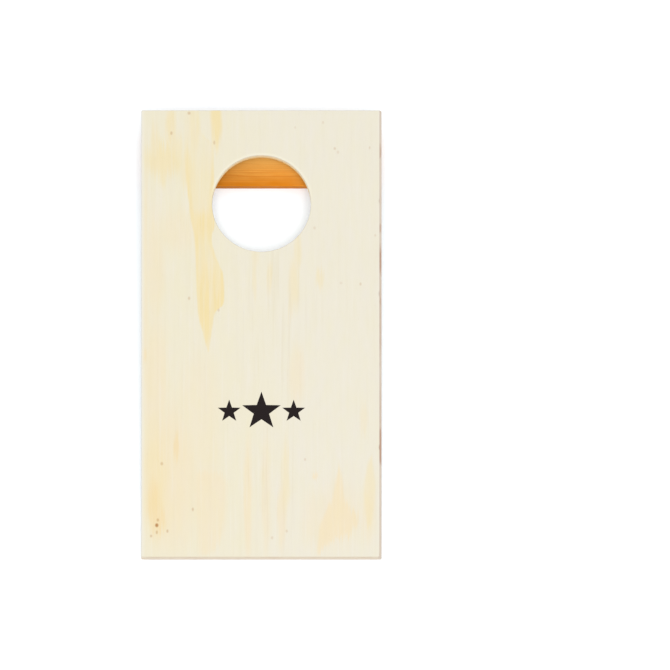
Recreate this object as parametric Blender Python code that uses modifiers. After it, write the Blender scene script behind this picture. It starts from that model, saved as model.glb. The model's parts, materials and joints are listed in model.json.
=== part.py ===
# Tabletop cornhole board: a plywood deck with a round toss hole and a plank leg that folds flat under it.
# Metres, +Z up, +Y towards the end with the hole. The leg is modelled folded, and the board lies on a
# flat surface on its front lower edge and on the front edge of the folded leg.
# The board's own frame has its origin under the middle of the deck, with the deck's underside at z = 0.
import math

import bmesh
import bpy
from mathutils import Matrix, Vector

# Deck
DECK_WIDTH = 0.190
DECK_LENGTH = 0.362
DECK_THICKNESS = 0.010
DECK_EDGE_EASE = 0.0006
RIGHT_EDGE_BEVEL = 0.0018
HOLE_RADIUS = 0.039
HOLE_FROM_BACK = 0.0755
HOLE_RIM_EASE = 0.0005

# Leg plank
LEG_THICKNESS = 0.010
LEG_HEIGHT = 0.048
LEG_SIDE_INSET = 0.005
LEG_EDGE_EASE = 0.0008

# Hinges
HINGE_OFFSET = 0.060
HINGE_LENGTH = 0.025
KNUCKLE_RADIUS = 0.0017
KNUCKLE_COUNT = 5
LEAF_THICKNESS = 0.0012
LEAF_REACH = 0.0118
PIN_RADIUS = 0.0008
PIN_OVERHANG = 0.0004

# Screws
SCREW_LENGTH = 0.0075
SCREW_RADIUS = 0.0010
SCREW_HEAD_RADIUS = 0.0020
SCREW_HEAD_LAND = 0.0001
SCREW_TIP_LENGTH = 0.0020
SCREW_SPACING = 0.014
SCREW_LINE = 0.0074
RECESS_LENGTH = 0.0022
RECESS_WIDTH = 0.0005
RECESS_DEPTH = 0.0007

# Clearances between pieces
SEAT_GAP = 0.0003
SCREW_GAP = 0.0001
PIN_GAP = 0.00005
KNUCKLE_GAP = 0.0003
CUT_MARGIN = 0.001

# Facets around round shapes
HOLE_SIDES = 96
KNUCKLE_SIDES = 24
SCREW_SIDES = 20
EASE_SEGMENTS = 2
MERGE_DISTANCE = 0.00001

# Where the leg and its hinges sit in the board's own frame
AXIS_DROP = KNUCKLE_RADIUS + SEAT_GAP
BACK_EDGE = DECK_LENGTH / 2
AXIS_Y = BACK_EDGE - LEG_THICKNESS - AXIS_DROP
AXIS_Z = -AXIS_DROP
HOLE_Y = BACK_EDGE - HOLE_FROM_BACK
LEG_WIDTH = DECK_WIDTH - 2 * LEG_SIDE_INSET
LEG_STOP_REACH = AXIS_DROP - SEAT_GAP
LEG_FRONT_Y = AXIS_Y + LEG_STOP_REACH - LEG_HEIGHT
LEG_TOP_Z = AXIS_Z - AXIS_DROP
LEG_BOTTOM_Z = LEG_TOP_Z - LEG_THICKNESS
KNUCKLE_PITCH = HINGE_LENGTH / KNUCKLE_COUNT

# How the folded board lies: it rests on the deck's front edge and on the leg's front edge
DECK_CONTACT_Y = -DECK_LENGTH / 2 + DECK_EDGE_EASE
LEG_CONTACT_Y = LEG_FRONT_Y + LEG_EDGE_EASE
TILT = math.atan2(-LEG_BOTTOM_Z, LEG_CONTACT_Y - DECK_CONTACT_Y)
BOARD_LIFT = -DECK_CONTACT_Y * math.sin(TILT)
BOARD_SHIFT = DECK_THICKNESS * math.sin(TILT) / 2


def clear_scene():
    for item in list(bpy.data.objects):
        bpy.data.objects.remove(item, do_unlink=True)


def make_collection(name):
    collection = bpy.data.collections.new(name)
    bpy.context.scene.collection.children.link(collection)
    return collection


def make_material(name, colour, roughness, metallic):
    material = bpy.data.materials.new(name)
    material.use_nodes = True
    shader = material.node_tree.nodes["Principled BSDF"]
    shader.inputs["Base Color"].default_value = (*colour, 1.0)
    shader.inputs["Roughness"].default_value = roughness
    shader.inputs["Metallic"].default_value = metallic
    return material


def make_empty(name, location, parent=None):
    empty = bpy.data.objects.new(name, None)
    empty.location = location
    empty.parent = parent
    empty.empty_display_size = 0.02
    parts.objects.link(empty)
    return empty


def add_part(name, mesh, material, parent, location=(0, 0, 0)):
    mesh.materials.append(material)
    part = bpy.data.objects.new(name, mesh)
    part.location = location
    part.parent = parent
    parts.objects.link(part)
    return part


def add_cutter(name, mesh, parent, location=(0, 0, 0)):
    cutter = bpy.data.objects.new(name, mesh)
    cutter.location = location
    cutter.parent = parent
    cutter.hide_render = True
    cutter.display_type = "WIRE"
    cutters.objects.link(cutter)
    return cutter


def cut(part, cutter):
    boolean = part.modifiers.new("cut " + cutter.name, "BOOLEAN")
    boolean.operation = "DIFFERENCE"
    boolean.solver = "EXACT"
    boolean.object = cutter


def ease_edges(part, width):
    bevel = part.modifiers.new("eased edges", "BEVEL")
    bevel.width = width
    bevel.segments = EASE_SEGMENTS
    bevel.limit_method = "ANGLE"


def mesh_from(shape, name):
    mesh = bpy.data.meshes.new(name)
    shape.to_mesh(mesh)
    shape.free()
    return mesh


def box_shape(low, high):
    low, high = Vector(low), Vector(high)
    shape = bmesh.new()
    place = Matrix.Translation((low + high) / 2) @ Matrix.Diagonal((high - low).to_4d())
    bmesh.ops.create_cube(shape, size=1.0, matrix=place)
    return shape


def box_mesh(name, low, high):
    return mesh_from(box_shape(low, high), name)


def rod_mesh(name, radius, length, sides, ease=0.0):
    # A rod along X, centred on the origin.
    shape = bmesh.new()
    along_x = Matrix.Rotation(math.pi / 2, 4, "Y")
    bmesh.ops.create_cone(shape, cap_ends=True, segments=sides, radius1=radius, radius2=radius,
                          depth=length, matrix=along_x)
    if ease:
        rims = [edge for edge in shape.edges if len(edge.link_faces) == 2 and edge.calc_face_angle() > 1]
        bmesh.ops.bevel(shape, geom=rims, offset=ease, segments=EASE_SEGMENTS, affect="EDGES", profile=0.5)
    mesh = mesh_from(shape, name)
    mesh.shade_smooth()
    mesh.set_sharp_from_angle(angle=math.radians(40))
    return mesh


def profile_mesh(name, profile):
    # An open profile of (radius, height) points in the XZ plane, to be turned about Z.
    shape = bmesh.new()
    points = [shape.verts.new((radius, 0, height)) for radius, height in profile]
    for start, end in zip(points, points[1:]):
        shape.edges.new((start, end))
    return mesh_from(shape, name)


def turn(item, sides):
    screw = item.modifiers.new("turned", "SCREW")
    screw.steps = sides
    screw.render_steps = sides
    screw.use_merge_vertices = True
    screw.merge_threshold = MERGE_DISTANCE
    screw.use_smooth_shade = True


def outline_mesh(name, points, length):
    # A closed outline of (y, z) points, made a solid of the given length along X.
    curve = bpy.data.curves.new(name, "CURVE")
    curve.dimensions = "2D"
    curve.fill_mode = "BOTH"
    curve.extrude = length / 2
    spline = curve.splines.new("POLY")
    spline.points.add(len(points) - 1)
    for point, (y, z) in zip(spline.points, points):
        point.co = (y, z, 0, 1)
    spline.use_cyclic_u = True
    outline = bpy.data.objects.new(name + " outline", curve)
    parts.objects.link(outline)
    bpy.context.view_layer.update()
    ready = outline.evaluated_get(bpy.context.evaluated_depsgraph_get())
    mesh = bpy.data.meshes.new_from_object(ready)
    bpy.data.objects.remove(outline)
    bpy.data.curves.remove(curve)

    shape = bmesh.new()
    shape.from_mesh(mesh)
    bmesh.ops.remove_doubles(shape, verts=shape.verts, dist=MERGE_DISTANCE)
    outline_to_board = Matrix(((0, 0, 1, 0), (1, 0, 0, 0), (0, 1, 0, 0), (0, 0, 0, 1)))
    shape.transform(outline_to_board)
    bmesh.ops.recalc_face_normals(shape, faces=shape.faces)
    shape.to_mesh(mesh)
    shape.free()
    mesh.name = name
    return mesh


def make_deck():
    half_width, half_length = DECK_WIDTH / 2, DECK_LENGTH / 2
    shape = box_shape((-half_width, -half_length, 0), (half_width, half_length, DECK_THICKNESS))
    right_top = [edge for edge in shape.edges
                 if all(vert.co.x > 0 and vert.co.z > DECK_THICKNESS / 2 for vert in edge.verts)]
    bmesh.ops.bevel(shape, geom=right_top, offset=RIGHT_EDGE_BEVEL, segments=1, affect="EDGES", profile=0.5)
    deck = add_part("deck_panel", mesh_from(shape, "deck_panel"), plywood, board)
    ease_edges(deck, DECK_EDGE_EASE)
    cut(deck, make_hole_cutter())
    return deck


def make_hole_cutter():
    # The wall is straight and flares out through each face, which eases the rim.
    flare = HOLE_RADIUS + HOLE_RIM_EASE + CUT_MARGIN
    profile = [
        (0, DECK_THICKNESS + CUT_MARGIN),
        (flare, DECK_THICKNESS + CUT_MARGIN),
        (HOLE_RADIUS, DECK_THICKNESS - HOLE_RIM_EASE),
        (HOLE_RADIUS, HOLE_RIM_EASE),
        (flare, -CUT_MARGIN),
        (0, -CUT_MARGIN),
    ]
    cutter = add_cutter("toss_hole_cutter", profile_mesh("toss_hole_cutter", profile), board, (0, HOLE_Y, 0))
    turn(cutter, HOLE_SIDES)
    return cutter


def make_leg():
    low = (-LEG_WIDTH / 2, LEG_STOP_REACH - LEG_HEIGHT, -AXIS_DROP - LEG_THICKNESS)
    high = (LEG_WIDTH / 2, LEG_STOP_REACH, -AXIS_DROP)
    leg = add_part("folding_leg", box_mesh("folding_leg", low, high), pine, leg_axis)
    ease_edges(leg, LEG_EDGE_EASE)
    return leg


def leaf_outline(side):
    # The flat plate runs forward from the top (side 1) or bottom (side -1) of the rolled knuckle.
    inner_z = KNUCKLE_RADIUS - LEAF_THICKNESS
    meet_angle = math.pi - math.asin(inner_z / KNUCKLE_RADIUS)
    sweep = math.pi / 2 + 2 * math.pi - meet_angle
    points = [(-LEAF_REACH, KNUCKLE_RADIUS)]
    for step in range(KNUCKLE_SIDES + 1):
        angle = math.pi / 2 - sweep * step / KNUCKLE_SIDES
        points.append((KNUCKLE_RADIUS * math.cos(angle), KNUCKLE_RADIUS * math.sin(angle)))
    points.append((-LEAF_REACH, inner_z))
    return [(y, side * z) for y, z in points]


def knuckle_spans(first):
    # The stretches of the hinge that one leaf's knuckles take, every second one from the given index.
    for index in range(first, KNUCKLE_COUNT, 2):
        start = -HINGE_LENGTH / 2 + index * KNUCKLE_PITCH
        yield start, start + KNUCKLE_PITCH


def make_notch(start, end):
    # Room for one of the other leaf's knuckles, open past the hinge's end where it is the last one.
    reach = KNUCKLE_RADIUS + KNUCKLE_GAP
    first = start < -HINGE_LENGTH / 2 + KNUCKLE_PITCH / 2
    last = end > HINGE_LENGTH / 2 - KNUCKLE_PITCH / 2
    low_x = start - (CUT_MARGIN if first else KNUCKLE_GAP / 2)
    high_x = end + (CUT_MARGIN if last else KNUCKLE_GAP / 2)
    return box_mesh("knuckle_notch", (low_x, -reach, -reach), (high_x, reach, reach))


def make_leaf(name, side, other_first, parent, location):
    mesh = outline_mesh(name, leaf_outline(side), HINGE_LENGTH)
    leaf = add_part(name, mesh, brass, parent, location)
    for start, end in knuckle_spans(other_first):
        cut(leaf, add_cutter(name + "_notch_cutter", make_notch(start, end), parent, location))
    bore = rod_mesh("pin_bore", PIN_RADIUS + PIN_GAP, HINGE_LENGTH + 2 * CUT_MARGIN, KNUCKLE_SIDES)
    cut(leaf, add_cutter(name + "_bore_cutter", bore, parent, location))
    return leaf


def make_pin(name, location):
    length = HINGE_LENGTH + 2 * PIN_OVERHANG
    mesh = rod_mesh(name, PIN_RADIUS, length, KNUCKLE_SIDES, ease=PIN_RADIUS / 4)
    return add_part(name, mesh, brass, board, location)


def screw_profile(gap):
    # From the head's flat face at z = 0 down to the tip; a gap makes it the hole that the screw fits.
    head, shank = SCREW_HEAD_RADIUS + gap, SCREW_RADIUS + gap
    cone_end = -SCREW_HEAD_LAND - (SCREW_HEAD_RADIUS - SCREW_RADIUS)
    tip = -SCREW_LENGTH - gap
    top = CUT_MARGIN / 2 if gap else 0
    return [(0, top), (head, top), (head, -SCREW_HEAD_LAND), (shank, cone_end),
            (shank, -SCREW_LENGTH + SCREW_TIP_LENGTH), (0, tip)]


def pilot_profile():
    # The blind hole in the wood, as wide as the screw with its seating gap all round.
    radius = SCREW_RADIUS + SEAT_GAP
    bottom = -SCREW_LENGTH - SEAT_GAP
    return [(0, 0), (radius, 0), (radius, bottom), (0, bottom)]


def make_screw(name, parent, location, side):
    screw = add_part(name, profile_mesh(name, screw_profile(0)), brass, parent, location)
    turn(screw, SCREW_SIDES)
    turned_over = (math.pi, 0, 0) if side > 0 else (0, 0, 0)
    screw.rotation_euler = turned_over
    half_long, half_wide = RECESS_LENGTH / 2, RECESS_WIDTH / 2
    for half_x, half_y in ((half_long, half_wide), (half_wide, half_long)):
        slot = box_mesh("recess", (-half_x, -half_y, -RECESS_DEPTH), (half_x, half_y, CUT_MARGIN))
        cutter = add_cutter(name + "_recess_cutter", slot, parent, location)
        cutter.rotation_euler = turned_over
        cut(screw, cutter)
    return screw


def cut_screw_seat(name, profile, piece, parent, location, side):
    cutter = add_cutter(name, profile_mesh(name, profile), parent, location)
    cutter.rotation_euler = (math.pi, 0, 0) if side > 0 else (0, 0, 0)
    turn(cutter, SCREW_SIDES)
    cut(piece, cutter)


def make_screws(hinge, side_name, leaf, wood, parent, axis_place, side):
    # side 1 drives the screws up into the deck, side -1 down into the leg.
    head_z = side * (KNUCKLE_RADIUS - LEAF_THICKNESS)
    outward = 1 if axis_place[0] > 0 else -1
    for row, step in (("outer", outward), ("inner", -outward)):
        place = Vector(axis_place) + Vector((step * SCREW_SPACING / 2, -SCREW_LINE, head_z))
        name = hinge + "_" + side_name + "_screw_" + row
        make_screw(name, parent, place, side)
        cut_screw_seat(name + "_leaf_cutter", screw_profile(SCREW_GAP), leaf, parent, place, side)
        cut_screw_seat(name + "_pilot_cutter", pilot_profile(), wood, parent, place, side)


def make_hinge(hinge, x, deck, leg):
    deck_place = (x, AXIS_Y, AXIS_Z)
    leg_place = (x, 0, 0)
    deck_leaf = make_leaf(hinge + "_deck_leaf", 1, 1, board, deck_place)
    leg_leaf = make_leaf(hinge + "_leg_leaf", -1, 0, leg_axis, leg_place)
    make_pin(hinge + "_pin", deck_place)
    make_screws(hinge, "deck", deck_leaf, deck, board, deck_place, 1)
    make_screws(hinge, "leg", leg_leaf, leg, leg_axis, leg_place, -1)


clear_scene()
parts = make_collection("cornhole_board")
cutters = make_collection("cutters")

plywood = make_material("pale_plywood", (0.87, 0.81, 0.67), 0.55, 0.0)
pine = make_material("orange_pine", (0.72, 0.32, 0.08), 0.5, 0.0)
brass = make_material("brass", (0.78, 0.57, 0.25), 0.3, 1.0)

board = make_empty("board_frame", (0, BOARD_SHIFT, BOARD_LIFT))
board.rotation_euler = (TILT, 0, 0)
leg_axis = make_empty("leg_hinge_axis", (0, AXIS_Y, AXIS_Z), board)

deck_panel = make_deck()
folding_leg = make_leg()
make_hinge("left_hinge", -HINGE_OFFSET, deck_panel, folding_leg)
make_hinge("right_hinge", HINGE_OFFSET, deck_panel, folding_leg)
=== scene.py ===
import json
import math

import bmesh
import bpy
from mathutils import Matrix, Vector, noise


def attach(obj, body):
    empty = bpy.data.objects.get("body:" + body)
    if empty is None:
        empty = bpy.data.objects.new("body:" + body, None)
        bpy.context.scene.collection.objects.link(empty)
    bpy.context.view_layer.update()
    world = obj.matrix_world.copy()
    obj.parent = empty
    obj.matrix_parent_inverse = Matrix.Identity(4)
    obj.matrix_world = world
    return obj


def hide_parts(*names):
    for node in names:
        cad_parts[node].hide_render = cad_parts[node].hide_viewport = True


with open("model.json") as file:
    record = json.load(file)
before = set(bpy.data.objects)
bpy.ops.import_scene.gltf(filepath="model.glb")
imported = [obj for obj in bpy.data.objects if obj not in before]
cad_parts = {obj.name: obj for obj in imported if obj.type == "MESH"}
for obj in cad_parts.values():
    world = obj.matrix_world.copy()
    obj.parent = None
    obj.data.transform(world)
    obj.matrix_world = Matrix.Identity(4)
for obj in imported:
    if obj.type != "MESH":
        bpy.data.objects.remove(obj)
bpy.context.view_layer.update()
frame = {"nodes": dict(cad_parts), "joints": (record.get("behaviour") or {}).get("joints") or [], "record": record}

# Looks for a small folding cornhole board. Shapes are in metres, patterns in millimetres.
# The board lies on its folded leg, so it slopes a little. Its own level frame has the origin under
# the middle of the deck: x across it, y towards the end with the hole, z up through its thickness.
mm = 0.001


def cornersOf(points):
    low = Vector([min(point[axis] for point in points) for axis in range(3)])
    high = Vector([max(point[axis] for point in points) for axis in range(3)])
    return low, high


playFace = next(mount for mount in frame["record"]["mounts"] if mount["name"] == "play_face")
playNormal = Vector(playFace["axis"]).normalized()
slope = math.atan2(-playNormal.y, playNormal.z)
levelled = Matrix.Rotation(-slope, 4, "X")
deckPoints = [levelled @ vertex.co for vertex in frame["nodes"]["deck_panel"].data.vertices]
deckLow, deckHigh = cornersOf(deckPoints)
deckMiddle = (deckLow + deckHigh) / 2
boardToWorld = levelled.inverted() @ Matrix.Translation((deckMiddle.x, deckMiddle.y, deckLow.z))
worldToBoard = boardToWorld.inverted()


def boardPoints(node):
    return [worldToBoard @ vertex.co for vertex in frame["nodes"][node].data.vertices]


def boardBox(node):
    return cornersOf(boardPoints(node))


deckLow, deckHigh = boardBox("deck_panel")
legLow, legHigh = boardBox("folding_leg")
deckTop = deckHigh.z
hingeAxis = worldToBoard @ Vector(frame["joints"][0]["pos_m"])
deckSize = [round(size / mm, 1) for size in deckHigh - deckLow]
print("frame read: deck", deckSize, "mm, slope", round(math.degrees(slope), 2), "degrees")


class Wire:
    # one output socket, so that sums on it read as sums
    def __init__(self, bench, socket):
        self.bench = bench
        self.socket = socket

    def __add__(self, other):
        return self.bench.maths("ADD", self, other)

    def __radd__(self, other):
        return self.bench.maths("ADD", other, self)

    def __sub__(self, other):
        return self.bench.maths("SUBTRACT", self, other)

    def __rsub__(self, other):
        return self.bench.maths("SUBTRACT", other, self)

    def __mul__(self, other):
        return self.bench.maths("MULTIPLY", self, other)

    def __rmul__(self, other):
        return self.bench.maths("MULTIPLY", other, self)

    def __truediv__(self, other):
        return self.bench.maths("DIVIDE", self, other)

    def __rtruediv__(self, other):
        return self.bench.maths("DIVIDE", other, self)


class Bench:
    # a node tree and the one way that nodes are put in it
    def __init__(self, tree):
        self.tree = tree

    def node(self, kind, settings=None, sockets=None, out=0):
        made = self.tree.nodes.new(kind)
        for name, value in (settings or {}).items():
            if name == "points":
                self.setPoints(made.mapping, value)
            else:
                setattr(made, name, value)
        for name, value in (sockets or {}).items():
            wires = value if isinstance(value, list) else [value]
            for wire in wires:
                if isinstance(wire, Wire):
                    self.tree.links.new(wire.socket, made.inputs[name])
                else:
                    made.inputs[name].default_value = wire
        return Wire(self, made.outputs[out]) if made.outputs else made

    def setPoints(self, mapping, points):
        curve = mapping.curves[0]
        for index, point in enumerate(points):
            if index < 2:
                curve.points[index].location = point
            else:
                curve.points.new(*point)
        mapping.update()

    def maths(self, operation, first, second=0.0):
        return self.node("ShaderNodeMath", {"operation": operation}, {0: first, 1: second})

    def vector(self, operation, first, second, out=0):
        return self.node("ShaderNodeVectorMath", {"operation": operation}, {0: first, 1: second}, out)

    def mix(self, factor, first, second, blend="MIX"):
        settings = {"data_type": "RGBA", "blend_type": blend}
        return self.node("ShaderNodeMix", settings, {0: factor, 6: first, 7: second}, 2)

    def dimmed(self, colour, level, blueLevel=None):
        levels = self.join(level, level, level if blueLevel is None else blueLevel)
        return self.mix(1.0, colour, levels, "MULTIPLY")

    def ramp(self, value, low, high, start=0.0, end=1.0):
        settings = {"interpolation_type": "SMOOTHSTEP"}
        return self.node("ShaderNodeMapRange", settings, {0: value, 1: low, 2: high, 3: start, 4: end})

    def noise(self, place, size, detail=2.0, roughness=0.5):
        # size is how long the features are along x, y and z; the answer swings about 0.5
        stretched = self.vector("DIVIDE", place, size)
        sockets = {"Vector": stretched, "Scale": 1.0, "Detail": detail, "Roughness": roughness}
        return self.node("ShaderNodeTexNoise", {}, sockets)

    def split(self, place):
        first = self.node("ShaderNodeSeparateXYZ", {}, {0: place})
        return [Wire(self, socket) for socket in first.socket.node.outputs]

    def join(self, x, y, z):
        return self.node("ShaderNodeCombineXYZ", {}, {0: x, 1: y, 2: z})

    def spot(self, place, middle, halfSize, edge=0.5):
        # 1 inside a soft-edged oval lying in x and y, 0 outside it
        away = self.vector("SUBTRACT", place, (*middle, 0.0))
        scaled = self.vector("DIVIDE", away, (*halfSize, 1.0))
        reach = self.vector("LENGTH", scaled, (0.0, 0.0, 0.0), 1)
        return self.ramp(reach, 1 - edge, 1 + edge, 1.0, 0.0)

    def spots(self, place, items, edge=0.5):
        # the strongest of many ovals, each (x, y, half width, half length, strength)
        best = None
        for item in items:
            mask = self.spot(place, item[:2], item[2:4], edge) * item[4]
            best = mask if best is None else self.maths("MAXIMUM", best, mask)
        return best

    def follow(self, value, stations):
        # a smooth curve through (value, answer) stations, held level beyond both ends
        answers = [answer for place, answer in stations]
        low, span = min(answers), max(max(answers) - min(answers), 0.001)
        first, last = stations[0][0], stations[-1][0]
        points = [((place - first) / (last - first), (answer - low) / span) for place, answer in stations]
        points = [points[0], points[-1], *points[1:-1]]
        share = self.node("ShaderNodeMapRange", {}, {0: value, 1: first, 2: last})
        return self.node("ShaderNodeFloatCurve", {"points": points}, {"Value": share}) * span + low

    def band(self, across, along, outline, soft):
        # distance inside a band given as (along, left, right), made 1 past its soft edge
        left = across - self.follow(along, [(place, start) for place, start, end in outline])
        right = self.follow(along, [(place, end) for place, start, end in outline]) - across
        inside = self.maths("MINIMUM", left, right)
        first, last = outline[0][0], outline[-1][0]
        ends = {0: along, 1: (first + last) / 2, 2: abs(first - last) / 2}
        withinEnds = self.node("ShaderNodeMath", {"operation": "COMPARE"}, ends)
        return inside, self.ramp(inside, -soft, soft) * withinEnds


def newMaterial(name):
    material = bpy.data.materials.new(name)
    material.use_nodes = True
    material.node_tree.nodes.clear()
    return material, Bench(material.node_tree)


def boardPlace(bench):
    # position in the board's level frame, in millimetres
    sockets = {
        "Vector": bench.node("ShaderNodeTexCoord", out=3),
        "Location": worldToBoard.to_translation() / mm,
        "Rotation": worldToBoard.to_euler(),
        "Scale": (1 / mm,) * 3,
    }
    return bench.node("ShaderNodeMapping", {"vector_type": "POINT"}, sockets)


def finishMaterial(bench, colour, roughness, height=None, bumpDepth=0.1, uniform=None):
    sockets = {"Base Color": colour, "Roughness": roughness}
    if height:
        bump = {"Distance": bumpDepth * mm, "Height": height}
        sockets["Normal"] = bench.node("ShaderNodeBump", {}, bump)
    sockets.update(uniform or {})
    surface = bench.node("ShaderNodeBsdfPrincipled", {}, sockets)
    bench.node("ShaderNodeOutputMaterial", {}, {"Surface": surface})


def shade(red, green, blue, gain=1.0):
    # a display colour from 0 to 255 made linear and scaled
    def linear(value):
        value /= 255
        return value / 12.92 if value <= 0.04045 else ((value + 0.055) / 1.055) ** 2.4
    return tuple(linear(value) * gain for value in (red, green, blue)) + (1.0,)


def tonesOf(look):
    # every display colour of a piece, made linear and scaled by the piece's gain
    gain = look.get("gain", 1.0)
    return {name: shade(*value, gain) for name, value in look.items()
            if isinstance(value, tuple) and len(value) == 3}


def grey(level):
    return (level, level, level, 1.0)


# Shared shape tools

def newObject(name, data):
    item = bpy.data.objects.new(name, data)
    bpy.context.scene.collection.objects.link(item)
    return item


def roundedLoop(low, high, radius, stepsX, stepsY, cornerSteps=4):
    # points round a rectangle with rounded corners, counter-clockwise, each with its outward direction
    centres = [(high[0] - radius, low[1] + radius), (high[0] - radius, high[1] - radius),
               (low[0] + radius, high[1] - radius), (low[0] + radius, low[1] + radius)]
    loop = []
    for corner, centre in enumerate(centres):
        for step in range(cornerSteps + 1):
            angle = math.radians(90 * (corner - 1 + step / cornerSteps))
            outward = Vector((math.cos(angle), math.sin(angle)))
            loop.append((Vector(centre) + radius * outward, outward))
        start = loop[-1][0]
        end = Vector(centres[(corner + 1) % 4]) + radius * outward
        steps = stepsX if corner % 2 else stepsY
        for step in range(1, steps):
            loop.append((start.lerp(end, step / steps), outward))
    return loop


def ringLoop(middle, radius, count):
    loop = []
    for step in range(count):
        angle = 2 * math.pi * step / count
        outward = Vector((math.cos(angle), math.sin(angle)))
        loop.append((Vector(middle) + radius * outward, outward))
    return loop


def stackRows(shape, rows):
    loops = [[shape.verts.new(point) for point in row] for row in rows]
    for lower, upper in zip(loops, loops[1:]):
        for index, vertex in enumerate(lower):
            follow = (index + 1) % len(lower)
            shape.faces.new((vertex, lower[follow], upper[follow], upper[index]))
    return loops


def fillBetween(shape, loops):
    edges = [shape.edges.get((loop[index - 1], vertex))
             for loop in loops for index, vertex in enumerate(loop)]
    bmesh.ops.triangle_fill(shape, use_beauty=True, edges=edges)


def wornRows(profile, ease, loopAt, wearAt, way=1):
    # rows of points up a cut edge, each standing back by its wear; way -1 is for the wall of a hole
    rows = []
    for height, inset in profile:
        row = []
        for point, outward in loopAt(height, inset):
            place = Vector((*point, height))
            wear = 0.0 if inset > ease else wearAt(place, outward)
            row.append(place - way * wear * Vector((*outward, 0)))
        rows.append(row)
    return rows


def boxShape(low, high):
    shape = bmesh.new()
    place = Matrix.Translation((Vector(low) + Vector(high)) / 2)
    size = Matrix.Diagonal((Vector(high) - Vector(low)).to_4d())
    bmesh.ops.create_cube(shape, size=1.0, matrix=place @ size)
    return shape


def turnedShape(profile, steps, place=Matrix.Identity(4)):
    # a closed shape turned about z from (radius, height) points that start and end on the axis
    shape = bmesh.new()
    rows = []
    for radius, height in profile[1:-1]:
        rows.append([Vector((*point, height)) for point, outward in ringLoop((0, 0), radius, steps)])
    loops = stackRows(shape, rows)
    for loop, (radius, height) in ((loops[0], profile[0]), (loops[-1], profile[-1])):
        pole = shape.verts.new((0, 0, height))
        for index, vertex in enumerate(loop):
            shape.faces.new((loop[index - 1], vertex, pole))
    bmesh.ops.recalc_face_normals(shape, faces=shape.faces)
    shape.transform(place)
    return shape


def meshOf(shape, name):
    bmesh.ops.recalc_face_normals(shape, faces=shape.faces)
    mesh = bpy.data.meshes.new(name)
    shape.to_mesh(mesh)
    shape.free()
    return mesh


def smoothed(mesh, sharpAngle=35):
    mesh.shade_smooth()
    mesh.set_sharp_from_angle(angle=math.radians(sharpAngle))
    return mesh


def evaluatedMesh(item):
    bpy.context.view_layer.update()
    ready = item.evaluated_get(bpy.context.evaluated_depsgraph_get())
    return bpy.data.meshes.new_from_object(ready)


def carved(mesh, cutterShapes):
    # the mesh with each cutter taken out of it
    blank = newObject("blank", mesh)
    cutters = []
    for shape in cutterShapes:
        cutter = newObject("cutter", meshOf(shape, "cutter"))
        cutters.append(cutter)
        modifier = blank.modifiers.new("cut", "BOOLEAN")
        modifier.operation = "DIFFERENCE"
        modifier.solver = "EXACT"
        modifier.object = cutter
    result = evaluatedMesh(blank)
    for item in [blank, *cutters]:
        bpy.data.objects.remove(item)
    return result


def addPiece(name, mesh, material, body, replaced):
    # a finished piece: built in the level frame, then laid where the board lies
    mesh.name = name
    mesh.transform(boardToWorld)
    if material:
        mesh.materials.clear()
        mesh.materials.append(material)
    piece = newObject(name, mesh)
    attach(piece, body)
    if replaced:
        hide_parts(*replaced)
    return piece


# Deck

deckLook = {
    "edgeEase": 0.6 * mm,
    "rightBevel": 1.8 * mm,
    "bevelSoftness": 0.25 * mm,
    "cornerRadius": 0.9 * mm,
    "rimEase": 0.5 * mm,
    "faceVeneer": 0.6 * mm,
    "innerPlies": 5,
    "glueLine": 0.1 * mm,
    "pointStep": 1.3 * mm,
    "holePoints": 288,
    "glueGroove": 0.03 * mm,
    "pitDepth": 0.07 * mm,
    "chipDepth": 0.35 * mm,
    "chipReach": 1.2 * mm,  # how far down from the top face the chips go
    "pitSize": 0.9 * mm,
    "chipSize": 5 * mm,
    "faceMargin": 3.0 * mm,
}


def holeRim():
    # the hole's middle and its radius at the deck's top face
    inside = deckLook["faceMargin"] * 2
    rim = [point for point in boardPoints("deck_panel")
           if point.z > deckTop - 0.01 * mm and deckLow.x + inside < point.x < deckHigh.x - inside
           and deckLow.y + inside < point.y < deckHigh.y - inside]
    low, high = cornersOf(rim)
    return (low + high) / 2, (high.x - low.x) / 2


holeMiddle, rimRadius = holeRim()
holeRadius = rimRadius - deckLook["rimEase"]
holeCentre = (holeMiddle.x / mm, holeMiddle.y / mm, 0.0)  # in millimetres, for patterns
innerPly = (deckTop - 2 * deckLook["faceVeneer"]) / deckLook["innerPlies"]
glueHeights = [deckLook["faceVeneer"] + innerPly * ply for ply in range(deckLook["innerPlies"] + 1)]
print("hole: radius", round(holeRadius / mm, 2), "mm, middle at y", round(holeMiddle.y / mm, 2), "mm")


def deckHeights():
    # heights up the deck's edge, closer together at the glue lines
    ease, glue = deckLook["edgeEase"], deckLook["glueLine"]
    heights = [height + shift for height in glueHeights for shift in (-glue, 0, glue)]
    for lower, upper in zip(glueHeights, glueHeights[1:]):
        heights += [lower + (upper - lower) * share for share in (0.25, 0.5, 0.75)]
    return sorted(height for height in heights if ease * 1.1 < height < deckTop - ease * 1.1)


def easedProfile(low, high, ease, heights, margin, steps=5):
    # (height, inset) up an edge with a small round at each face, from one flat face to the other
    arc = [(ease * (1 - math.cos(math.radians(90 * step / steps))),
            ease * (1 - math.sin(math.radians(90 * step / steps)))) for step in range(steps + 1)]
    lower = [(low, margin), (low, ease * 1.4)] + [(low + rise, inset) for rise, inset in arc]
    upper = [(high - rise, inset) for rise, inset in reversed(arc)] + [(high, ease * 1.4), (high, margin)]
    return lower + [(height, 0.0) for height in heights] + upper


def bevelInset(height, inset):
    # the long right edge is sanded back at the top
    above = height - (deckTop - deckLook["rightBevel"])
    sanded = (above + math.hypot(above, deckLook["bevelSoftness"])) / 2
    onFace = max(0.0, inset - deckLook["edgeEase"]) if height > deckTop / 2 else 0.0
    return max(inset, sanded + onFace) if height > deckTop / 2 else inset


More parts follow.
